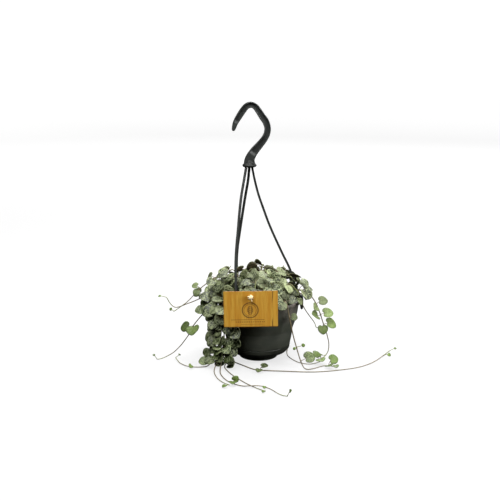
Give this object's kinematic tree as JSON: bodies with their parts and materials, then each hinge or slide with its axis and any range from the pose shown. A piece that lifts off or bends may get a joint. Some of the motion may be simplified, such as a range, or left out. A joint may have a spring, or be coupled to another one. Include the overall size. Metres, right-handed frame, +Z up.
{
  "type": "potted string of hearts in a hanging pot",
  "caption": "String of hearts with marbled heart-shaped leaves on trailing stems, in a black plastic hanging pot with a saucer, a strap hanger with a hook and a blank card tag.",
  "frame": {"origin": "centre of the saucer's flat underside, on the surface that the pot stands on", "axes": "+Z up along the pot's axis, -Y towards the side with the tag, +X to the right as the tag is read"},
  "size_m": [0.3567, 0.246, 0.3672],
  "materials": {
    "pot_black": "matt black plastic with a dusty grey rim",
    "saucer_black": "smooth black plastic, slightly glossy",
    "hanger_black": "matt black plastic, worn slightly grey on its edges",
    "soil": "crumbly dark brown potting soil",
    "tag_wood": "ochre card with a printed upright wood grain",
    "twine": "cream twine",
    "foliage": "fleshy leaves, silver marbled with dark green, on thin purplish stems"
  },
  "bodies": {
    "root": {"hanger_hook": "hanger_black", "hanger_strand_1": "hanger_black", "hanger_strand_2": "hanger_black", "hanger_strand_3": "hanger_black", "pot": "pot_black", "saucer": "saucer_black", "soil": "soil", "tag": "tag_wood", "tag_tie": "twine", "vine_front_inner": "foliage", "vine_front_long": "foliage", "vine_front_outer": "foliage", "vine_left_arch": "foliage", "vine_left_curl": "foliage", "vine_left_fall": "foliage", "vine_left_floor": "foliage", "vine_longest": "foliage", "vine_mound_1": "foliage", "vine_mound_10": "foliage", "vine_mound_11": "foliage", "vine_mound_12": "foliage", "vine_mound_13": "foliage", "vine_mound_14": "foliage", "vine_mound_15": "foliage", "vine_mound_16": "foliage", "vine_mound_17": "foliage", "vine_mound_2": "foliage", "vine_mound_3": "foliage", "vine_mound_4": "foliage", "vine_mound_5": "foliage", "vine_mound_6": "foliage", "vine_mound_7": "foliage", "vine_mound_8": "foliage", "vine_mound_9": "foliage", "vine_right_fall": "foliage", "vine_right_floor": "foliage", "vine_right_short": "foliage", "vine_right_straight": "foliage", "vine_rim_1": "foliage", "vine_rim_2": "foliage", "vine_rim_3": "foliage", "vine_rim_4": "foliage", "vine_rim_5": "foliage", "vine_rim_6": "foliage", "vine_rim_7": "foliage", "vine_rim_8": "foliage"}
  },
  "joints": []
}
